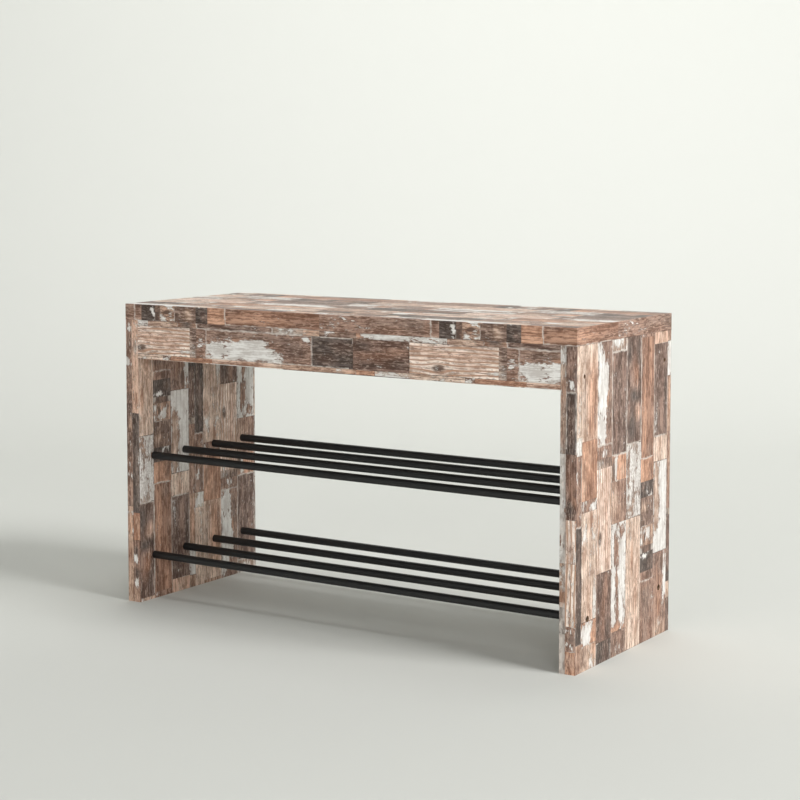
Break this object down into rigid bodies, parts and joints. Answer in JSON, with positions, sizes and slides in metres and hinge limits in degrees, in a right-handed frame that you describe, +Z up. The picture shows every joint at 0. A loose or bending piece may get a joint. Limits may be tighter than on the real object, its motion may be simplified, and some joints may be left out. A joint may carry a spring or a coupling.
{
  "type": "entryway bench",
  "caption": "Low entryway bench in patchwork reclaimed-plank decor, with a flat seat on slab sides and open tiers of black steel rods for shoes.",
  "frame": {"origin": "middle of the footprint, on the floor", "axes": "+X along the bench, -Y out of its front, +Z up"},
  "size_m": [0.8, 0.3, 0.475],
  "materials": {
    "decor_planks": "matt printed foil of worn, painted planks",
    "black_rod": "satin black powder coat",
    "black_fastener": "black oxide",
    "beech_dowel": "raw beech",
    "zinc_fitting": "dull zinc"
  },
  "bodies": {
    "root": {"top_board": "decor_planks", "left_side_panel": "decor_planks", "right_side_panel": "decor_planks", "front_apron": "decor_planks", "back_apron": "decor_planks", "top_front_band": "decor_planks", "top_back_band": "decor_planks", "top_left_band": "decor_planks", "top_right_band": "decor_planks", "left_front_band": "decor_planks", "left_back_band": "decor_planks", "right_front_band": "decor_planks", "right_back_band": "decor_planks", "front_apron_band": "decor_planks", "back_apron_band": "decor_planks", "lower_rod_1": "black_rod", "lower_rod_2": "black_rod", "lower_rod_3": "black_rod", "lower_rod_4": "black_rod", "upper_rod_1": "black_rod", "upper_rod_2": "black_rod", "upper_rod_3": "black_rod", "upper_rod_4": "black_rod", "rod_plugs": "zinc_fitting", "rod_bolts": "black_fastener", "apron_screws": "black_fastener", "apron_end_dowels": "beech_dowel", "top_side_dowels": "beech_dowel", "top_apron_dowels": "beech_dowel", "cam_nuts": "zinc_fitting", "cam_studs": "zinc_fitting"}
  },
  "joints": []
}
